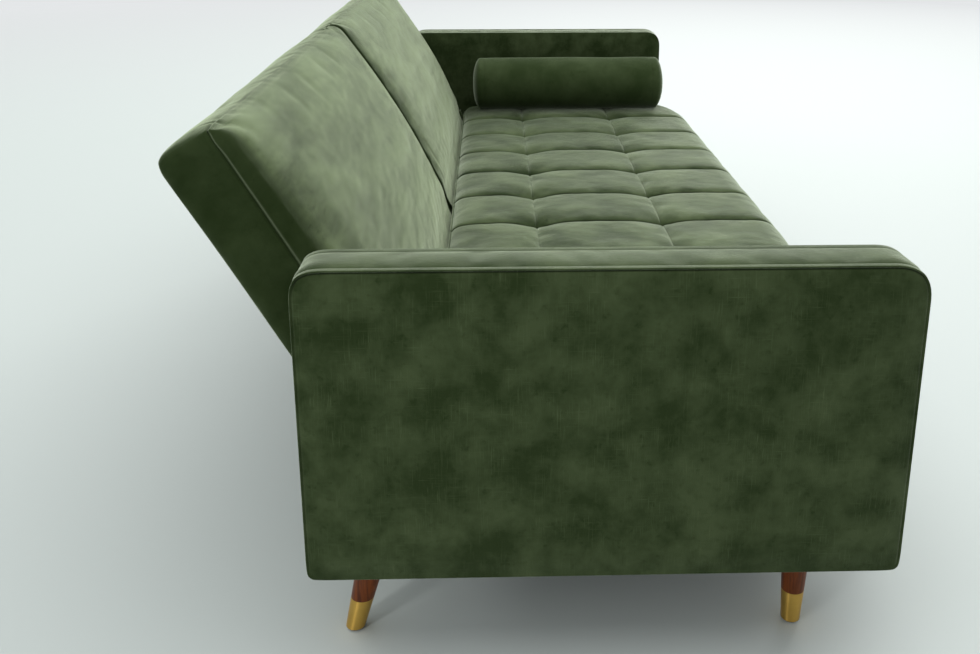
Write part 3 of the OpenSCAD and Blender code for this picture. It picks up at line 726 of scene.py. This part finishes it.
def make_arm(material):
    """The right arm: two flat panels joined by a band over the top, front and rear, with a welt at
    each seam."""
    lo, hi = (ARM_LO.y, ARM_LO.z), (ARM_HI.y, ARM_HI.z)
    x_range = (ARM_LO.x, ARM_HI.x)
    arm = block("arm_right_upholstery", ARM_LO, ARM_HI)
    flat = cut_loops(arm, *arm_loops())
    points, depth, end_gap = rounded(flat, x_range, lo, hi, ARM_CORNERS, (ARM_EDGE, ARM_EDGE))
    set_points(arm, points)
    normals = get_normals(arm)
    on_rim, on_panel = depth < TINY, end_gap < TINY
    above_hem = smoothstep((flat[:, 2] - lo[1]) / 0.012)
    outside = np.where(flat[:, 0] > sum(x_range) / 2, 1.0, 0.3)
    stitch_line = bead(end_gap - ARM_BAND, STITCH_WIDTH) * on_rim
    panel_well = bead(depth - PANEL_SEAM_GAP, PANEL_SEAM_WIDTH) * on_panel
    strip = (end_gap < ARM_BAND - 0.001) * on_rim
    band_crown = smoothstep((end_gap - ARM_BAND) / CROWN_REACH) * on_rim
    panel_crown = smoothstep((depth - 0.0026) / CROWN_REACH) * on_panel
    push = STRIP_HEIGHT * strip - STITCH_DEPTH * stitch_line + BAND_CROWN * band_crown
    push -= PANEL_SEAM_DEPTH * panel_well
    push = push * above_hem * outside + PANEL_CROWN * panel_crown
    push += waviness(flat, *ARM_WAVES) * (panel_crown + band_crown)
    points += normals * push[:, None]
    well_inside = np.abs(flat[:, 1] - (lo[0] + hi[0]) / 2) < 0.365
    underside = (flat[:, 2] <= lo[1] + TINY) & (end_gap > 0.010) & well_inside
    points[underside, 2] += 0.004
    set_points(arm, points)
    # painted shade: the seam mask darkens the panel seam's well and the stitch line, more toward the top, where
    # the lip shades the face
    on_top = 0.3 + 0.7 * smoothstep((flat[:, 2] - hi[1] + 0.03) / 0.03)
    set_mask(arm, "seam", np.maximum(panel_well * on_top, 0.6 * stitch_line) * above_hem * outside)
    held = (on_rim & (end_gap < ARM_BAND + 0.002)) | (on_panel & (depth < 0.009))
    held |= flat[:, 2] < lo[1] + 0.004
    inflate(arm, held, pressure=1.6, cap=0.003, slack=0.004)
    return smooth_cover(arm, material)


# ---------- back halves ----------

# Corner radii of the back's outline: front low, rear low, rear high and front high
BACK_CORNERS = (0.055, 0.024, 0.020, 0.030)
BACK_EDGES = (0.007, 0.017)

# Seam between the front panel and the border, and the lip of cloth in front of it
BACK_SEAM_N = BACK_N[0] + 0.023
BACK_SEAM_DEPTH, BACK_SEAM_WIDTH = 0.0022, 0.0012
BACK_LIP_HEIGHT, BACK_LIP_WIDTH, BACK_LIP_GAP = 0.0012, 0.0010, 0.0028
PUCKER_HEIGHT = 0.0011
BACK_WAVES = (5.0, 0.0022, 3)

# The foot of the front panel is thinner, so that it clears the seat's lip when upright
FOOT_THINNER, FOOT_TOP, FOOT_FADE = 0.0115, 0.055, 0.060


def on_back(points):
    """From the back's own axes to the row frame at its stored recline."""
    s, c = math.sin(RECLINE), math.cos(RECLINE)
    n, up = points[:, 1].copy(), points[:, 2].copy()
    points[:, 1] = HINGE[1] + n * c + up * s
    points[:, 2] = HINGE[2] - n * s + up * c
    return points


def cut_back(name):
    """The block of a back half, with its hinge slots and flaps, cut into loops."""
    x_lo, x_hi = BACK_X
    slot_lo, slot_hi = x_lo + HINGE_SLOT, x_hi - HINGE_SLOT
    xs = spaced(x_lo, x_hi, 0.0145, (x_lo, slot_lo, slot_hi, x_hi), (0.002, 0.005, 0.010))
    ns = spaced(*BACK_N, 0.012, (BACK_N[0], FLAP_N, BACK_SEAM_N), (0.0014, 0.0030, 0.0048))
    ss = spaced(*BACK_S, 0.0145, (INNER_FLAP_S, OUTER_FLAP_S, HINGE_SLOT_TOP, BACK_S[1]), (0.004,))
    back = block(name, (x_lo, BACK_N[0], BACK_S[0]), (x_hi, BACK_N[1], BACK_S[1]))
    for near, far, flap_s in ((x_lo - 1, slot_lo, INNER_FLAP_S), (slot_hi, x_hi + 1, OUTER_FLAP_S)):
        cut_away(back, (near, FLAP_N, -1), (far, 1, HINGE_SLOT_TOP))
        cut_away(back, (near, -1, -1), (far, 1, flap_s))
    return back, cut_loops(back, xs, ns, ss)


def crown_of_back(flat):
    """How far the front panel bulges forward: most in its middle, and least toward the arm."""
    peak, half_height, height = 0.241, 0.205, 0.0206
    from_inner = 0.62 + 0.38 * smoothstep((flat[:, 0] - BACK_X[0]) / 0.10)
    from_outer = 0.45 + 0.55 * smoothstep((BACK_X[1] - flat[:, 0]) / 0.12)
    arch = np.maximum(height * (1 - ((flat[:, 2] - peak) / half_height) ** 2), 0)
    return arch * np.minimum(from_inner, from_outer)


def make_back(material):
    """The right back half: a front panel sewn to a border, gathered at the top corners."""
    back, flat = cut_back("back_right_upholstery")
    lo, hi = (BACK_N[0], BACK_S[0]), (BACK_N[1], BACK_S[1])
    points, depth, end_gap = rounded(flat, BACK_X, lo, hi, BACK_CORNERS, BACK_EDGES)
    set_points(back, points)
    normals = get_normals(back)
    skin = (depth < TINY) | (end_gap < TINY)
    on_front = flat[:, 1] < BACK_N[0] + TINY
    on_top = flat[:, 2] > BACK_S[1] - TINY
    on_border = skin & ~on_front & ((end_gap < TINY) | on_top)
    toward_front = 1 - smoothstep((flat[:, 1] - BACK_N[0]) / 0.022)
    to_seam = flat[:, 1] - BACK_SEAM_N
    seam = bead(to_seam, BACK_SEAM_WIDTH) * on_border
    lip = bead(to_seam + BACK_LIP_GAP, BACK_LIP_WIDTH) * on_border
    along = flat[:, 0] + flat[:, 2]
    to_corner = np.hypot(end_gap, BACK_S[1] - flat[:, 2])
    gather = bead(to_seam, 0.016) * (0.2 + bead(to_corner, 0.06))
    pucker = PUCKER_HEIGHT * np.sin(along * 290 + 2 * np.sin(along * 47)) * gather * on_border
    front_foot = (flat[:, 1] < BACK_N[0] + 0.03) & skin
    thinner = FOOT_THINNER * smoothstep((FOOT_TOP - flat[:, 2]) / FOOT_FADE) * front_foot
    push = pucker - BACK_SEAM_DEPTH * seam + BACK_LIP_HEIGHT * lip - thinner
    push += waviness(flat, *BACK_WAVES) * skin
    points += normals * push[:, None]
    points[:, 1] -= crown_of_back(flat) * toward_front * skin
    set_points(back, on_back(points))
    # painted shade along the seam between front panel and border, darkest on the top; the lip's mask is a painted
    # highlight on the lip of cloth in front of the seam
    set_mask(back, "seam", seam * np.where(on_top, 1.0, 0.5))
    set_mask(back, "welt_highlight", lip * np.where(on_top, 0.2, 1.0))
    # painted shade: the border, the sides and the ends at the gap between the halves take the plain dark pile, so
    # they read as shaded; only the front panel's middle keeps its lighter patches
    off_sides = smoothstep((end_gap - 0.004) / 0.022) * smoothstep((BACK_X[1] - flat[:, 0]) / 0.02)
    set_mask(back, "border_shade", 1 - off_sides * toward_front)
    on_rear = flat[:, 1] > BACK_N[1] - 0.004
    at_hinges = flat[:, 2] < HINGE_SLOT_TOP + 0.01
    held = ~skin | (seam > 0.5) | on_rear | at_hinges | (end_gap < 0.003)
    inflate(back, held, pressure=2.4, cap=0.006, slack=0.006)
    return smooth_cover(back, material)


# ---------- bolster ----------

BOLSTER_RADIUS = (BOLSTER_HI.z - BOLSTER_LO.z) / 2
BOLSTER_DOME = 0.024
DOME_STEPS = 9
BOLSTER_LENGTH = BOLSTER_HI.y - BOLSTER_LO.y - 2 * BOLSTER_DOME


def choose_faces(obj, wanted):
    """Leaves the piece in edit mode with only the faces selected whose centre and normal are wanted."""
    activate(obj)
    bpy.ops.object.mode_set(mode="EDIT")
    bpy.ops.mesh.select_mode(type="FACE")
    bpy.ops.mesh.select_all(action="DESELECT")
    bpy.ops.object.mode_set(mode="OBJECT")
    for face in obj.data.polygons:
        face.select = bool(wanted(face.center, face.normal))
    bpy.ops.object.mode_set(mode="EDIT")


def on_cap(sign, reach):
    """A test for the faces of one end that lie within a reach of its middle."""
    edge_y = BOLSTER_LENGTH / 2 - 0.0001
    return lambda c, n: c.y * sign > edge_y and n.y * sign > 0.85 and c.xz.length < reach


def dome_end(bolster, sign):
    """Insets one end again and again, each ring a little further out, into a shallow dome."""
    ring = np.cos(np.linspace(0, math.pi / 2, DOME_STEPS + 1))
    for outer, inner in zip(ring[:-2], ring[1:-1]):
        choose_faces(bolster, on_cap(sign, BOLSTER_RADIUS * outer))
        rise = BOLSTER_DOME * (math.sqrt(1 - inner ** 2) - math.sqrt(max(0, 1 - outer ** 2)))
        bpy.ops.mesh.inset(thickness=BOLSTER_RADIUS * (outer - inner), depth=rise)
        bpy.ops.object.mode_set(mode="OBJECT")


def make_bolster(material):
    """A roll with rounded rims and domed ends, made from a cylinder lying along Y."""
    centre = (BOLSTER_LO + BOLSTER_HI) / 2
    deselect()
    bpy.ops.mesh.primitive_cylinder_add(vertices=72, radius=BOLSTER_RADIUS, depth=BOLSTER_LENGTH,
                                        end_fill_type="TRIFAN", rotation=(math.radians(90), 0, 0))
    bolster = bpy.context.object
    bolster.name = "bolster_upholstery"
    bpy.ops.object.transform_apply(location=True, rotation=True, scale=True)
    for sign in (-1, 1):
        dome_end(bolster, sign)
    around = cut_loops(bolster, (), np.linspace(-BOLSTER_LENGTH / 2, BOLSTER_LENGTH / 2, 42), ())
    reach = np.hypot(around[:, 0], around[:, 2])
    inside_rim = reach < BOLSTER_RADIUS * 0.98
    seam = bead(np.abs(np.abs(around[:, 1]) - (BOLSTER_LENGTH / 2 - 0.014)) + inside_rim, 0.0075)
    push = waviness(around, 9.0, 0.0018, 5) - 0.0012 * seam
    set_points(bolster, around + get_normals(bolster) * push[:, None] + np.array(centre))
    # painted shade in the groove of the seam round each end
    set_mask(bolster, "seam", seam * 0.3)
    resting = around[:, 2] < -BOLSTER_RADIUS * 0.93
    inflate(bolster, resting, pressure=1.5, cap=0.003, frames=12)
    return smooth_cover(bolster, material)


# ---------- the soft pieces ----------

seat_velvet = velvet("velvet_seat", turn=(0, 0, math.radians(90)), patches=0.90, size=11, lean=0.008)
arm_velvet = velvet("velvet_arm", patches=0.46, size=15, slubs=0.36, lean=0.003)
back_velvet = velvet("velvet_back", turn=(RECLINE + math.radians(90), 0, 0), brushed=(0.34, 1, 1),
                     patches=0.95, size=18, lean=0.009, dark=(0.015, 0.027, 0.006, 1),
                     light=(0.096, 0.130, 0.058, 1), sheen=0.87, tint=(0.82, 0.95, 0.66, 1))
bolster_velvet = velvet("velvet_bolster", patches=0.3, dark=(0.026, 0.043, 0.013, 1),
                        light=(0.110, 0.145, 0.070, 1), sheen=0.45)

arm_right = make_arm(arm_velvet)
arm_left = mirrored(arm_right, "arm_left_upholstery")
back_right = make_back(back_velvet)
back_left = mirrored(back_right, "back_left_upholstery")

upholster(make_seat(seat_velvet), "base", "seat_cushion")
upholster(arm_left, "base", "arm_left_cover")
upholster(arm_right, "base", "arm_right_cover")
upholster(back_left, "back_left", "back_left_cushion")
upholster(back_right, "back_right", "back_right_cushion")
upholster(make_bolster(bolster_velvet), "bolster", "bolster")

# ---------- finishes of the construction ----------

METAL, PAINT = 1.0, 0.0
FINISHES = {
    "stained_wood": wood("stained_wood", (0.060, 0.011, 0.001, 1), (0.19, 0.045, 0.005, 1), 0.30,
                         scale=1.4),
    "pale_wood": wood("pale_wood", (0.42, 0.28, 0.15, 1), (0.66, 0.49, 0.31, 1), 0.55,
                      turn=(math.radians(90), 0, 0)),
    "polished_brass": hard("polished_brass", (0.53, 0.325, 0.070, 1), (0.62, 0.395, 0.095, 1),
                           METAL, 0.31, 0.08, turned=0.9),
    "black_steel": hard("black_steel", (0.018, 0.018, 0.020, 1), (0.034, 0.034, 0.037, 1),
                        PAINT, 0.42, 0.2, scratch_depth=0.0003),
    "zinc_steel": hard("zinc_steel", (0.52, 0.53, 0.56, 1), (0.68, 0.69, 0.71, 1),
                       METAL, 0.28, 0.2, scratch_depth=0.0002),
    "black_plastic": hard("black_plastic", (0.020, 0.020, 0.021, 1), (0.032, 0.032, 0.033, 1),
                          PAINT, 0.5, 0.15),
    "black_cloth": dust_cloth(),
    "velvet": arm_velvet,
}
for part in frame["record"]["subparts"]:
    node = frame["nodes"][part["node"]]
    node.data.materials.clear()
    node.data.materials.append(FINISHES[part["material_slot"]])

# ---------- floor, light and camera ----------

BACKDROP = (0.78, 0.80, 0.81, 1)


def seen_directly(tree):
    """One for rays from the camera, also by way of gloss or glass, and zero for rays that light the
    object."""
    path = add(tree, "ShaderNodeLightPath")
    by_way = math_node(tree, "MAXIMUM", path.outputs["Is Glossy Ray"], path.outputs["Is Transmission Ray"])
    return math_node(tree, "MAXIMUM", path.outputs["Is Camera Ray"], by_way)


def make_floor():
    """A pale floor that keeps the shadow and melts into the backdrop further out."""
    deselect()
    bpy.ops.mesh.primitive_plane_add(size=60, location=(0, 0, 0))
    floor = bpy.context.object
    floor.name = "floor"
    material, tree, shader = plain_material("floor")
    reach = add(tree, "ShaderNodeVectorMath", {0: object_place(tree)}, operation="LENGTH").outputs["Value"]
    far = times(tree, remap(tree, reach, 2.6, 8.0), seen_directly(tree))
    haze = add(tree, "ShaderNodeEmission", Color=BACKDROP)
    mix = add(tree, "ShaderNodeMixShader", {0: far, 1: shader.outputs[0], 2: haze.outputs[0]})
    tree.links.new(mix.outputs[0], tree.nodes["Material Output"].inputs["Surface"])
    shader.inputs["Base Color"].default_value = (0.50, 0.55, 0.53, 1)
    shader.inputs["Roughness"].default_value = 0.75
    floor.data.materials.append(material)


def make_light(name, place, target, size, power, colour=(1, 1, 1), spread=180):
    lamp = bpy.data.lights.new(name, "AREA")
    lamp.shape = "RECTANGLE"
    lamp.size, lamp.size_y = size
    lamp.energy = power
    lamp.color = colour
    lamp.spread = math.radians(spread)
    obj = bpy.data.objects.new(name, lamp)
    bpy.context.scene.collection.objects.link(obj)
    obj.location = place
    obj.rotation_euler = (Vector(target) - Vector(place)).to_track_quat("-Z", "Y").to_euler()


def make_world():
    world = bpy.data.worlds.new("studio")
    bpy.context.scene.world = world
    world.use_nodes = True
    tree = world.node_tree
    sky = tree.nodes["Background"]
    sky.inputs["Color"].default_value = (0.96, 0.98, 1.0, 1)
    sky.inputs["Strength"].default_value = 0.42
    pale = add(tree, "ShaderNodeBackground", Color=BACKDROP)
    mix = add(tree, "ShaderNodeMixShader", {0: seen_directly(tree), 1: sky.outputs[0], 2: pale.outputs[0]})
    tree.links.new(mix.outputs[0], tree.nodes["World Output"].inputs["Surface"])


def make_camera():
    pitch, yaw, roll = 0.27957, -0.02799, 0.00067
    camera = bpy.data.cameras.new("camera")
    camera.sensor_width = 36
    camera.lens = 37.38
    camera.shift_x, camera.shift_y = -0.03, -0.15
    obj = bpy.data.objects.new("camera", camera)
    bpy.context.scene.collection.objects.link(obj)
    ahead = Vector((math.cos(pitch) * math.cos(yaw), math.cos(pitch) * math.sin(yaw), -math.sin(pitch)))
    turn = ahead.to_track_quat("-Z", "Y").to_matrix() @ Matrix.Rotation(roll, 3, "Z")
    obj.rotation_euler = turn.to_euler()
    obj.location = (-2.16033, 0.09247, 1.00309)
    bpy.context.scene.camera = obj


make_floor()
make_world()
make_light("window", (14.1, -4.95, 5.7), (0.2, 0, 0.3), (9.6, 7.6), 1700, colour=(1.0, 0.99, 0.97))
make_light("strip", (-2.4, 1.5, 1.1), (-0.95, 0, 0.1), (0.22, 1.6), 1.9, spread=60)
make_light("ceiling", (1.5, -0.5, 7.0), (1.5, -0.5, 0), (14.0, 14.0), 900)
make_camera()
bpy.context.scene.view_settings.view_transform = "Standard"
